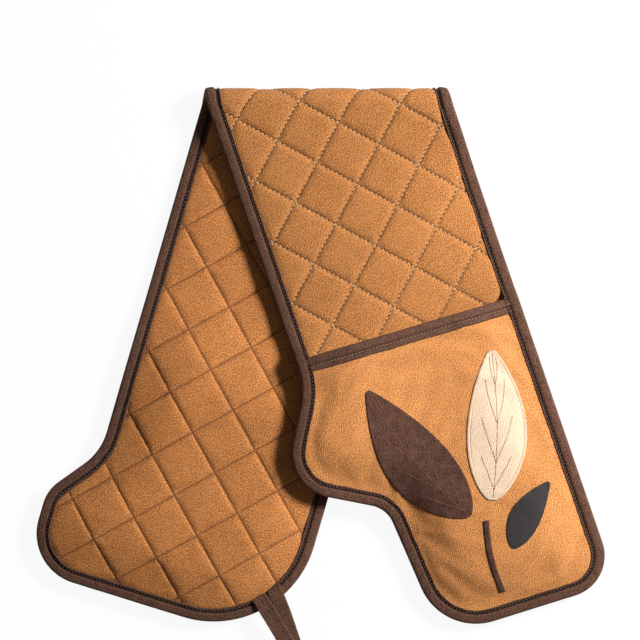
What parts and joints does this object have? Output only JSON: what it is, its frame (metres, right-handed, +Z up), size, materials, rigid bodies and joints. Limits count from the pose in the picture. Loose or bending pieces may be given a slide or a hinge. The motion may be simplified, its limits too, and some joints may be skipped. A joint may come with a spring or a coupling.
{
  "type": "double oven glove",
  "caption": "Quilted strip of padded cloth with a mitt pocket at each end, folded at its middle and laid flat, with bound edges and a tape hanging loop.",
  "frame": {"origin": "middle of the bounding box in plan, on the surface that the folded glove lies on", "axes": "+Z up through the thickness of the folded glove, +Y towards the fold, +X towards the end of the front half's mitt"},
  "size_m": [0.4418, 0.4494, 0.042],
  "materials": {
    "caramel_cloth": "brushed cotton, quilted",
    "lining_cloth": "brushed cotton",
    "pocket_twill": "matte twill",
    "wadding": "soft fibre",
    "brown_tape": "matte woven tape",
    "brown_patch": "matte cloth",
    "cream_patch": "matte cloth",
    "satin_thread": "satin stitch",
    "charcoal_patch": "matte cloth"
  },
  "bodies": {
    "back_half": {"back_face_cloth": "caramel_cloth", "back_wadding": "wadding", "back_lining": "lining_cloth", "back_pocket_face": "pocket_twill", "back_pocket_wadding": "wadding", "back_pocket_lining": "lining_cloth", "back_edge_binding": "brown_tape", "back_mouth_binding": "brown_tape", "fold_face_cloth": "caramel_cloth", "fold_wadding": "wadding", "fold_lining": "lining_cloth", "fold_binding_left": "brown_tape", "fold_binding_right": "brown_tape"},
    "front_half": {"front_lining": "lining_cloth", "front_wadding": "wadding", "front_face_cloth": "caramel_cloth", "front_pocket_lining": "lining_cloth", "front_pocket_wadding": "wadding", "front_pocket_face": "pocket_twill", "front_edge_binding": "brown_tape", "front_mouth_binding": "brown_tape", "leaf_large": "brown_patch", "leaf_cream": "cream_patch", "leaf_cream_border": "satin_thread", "leaf_small": "charcoal_patch", "leaf_stem": "brown_patch"},
    "hanging_loop": {"hanging_loop": "brown_tape"}
  },
  "joints": [
    {"name": "centre_fold", "type": "hinge", "parent": "back_half", "child": "front_half", "pos_m": [-0.00065, 0.21252, 0.0125], "axis": [-1, 0, 0], "range_deg": [0, 175], "deforming": ["fold_face_cloth", "fold_wadding", "fold_lining", "fold_binding_left", "fold_binding_right"]},
    {"name": "loop_swing", "type": "hinge", "parent": "back_half", "child": "hanging_loop", "pos_m": [-0.04234, -0.16493, 0.01452], "axis": [-0.859, -0.512, 0], "range_deg": [0, 150]}
  ]
}
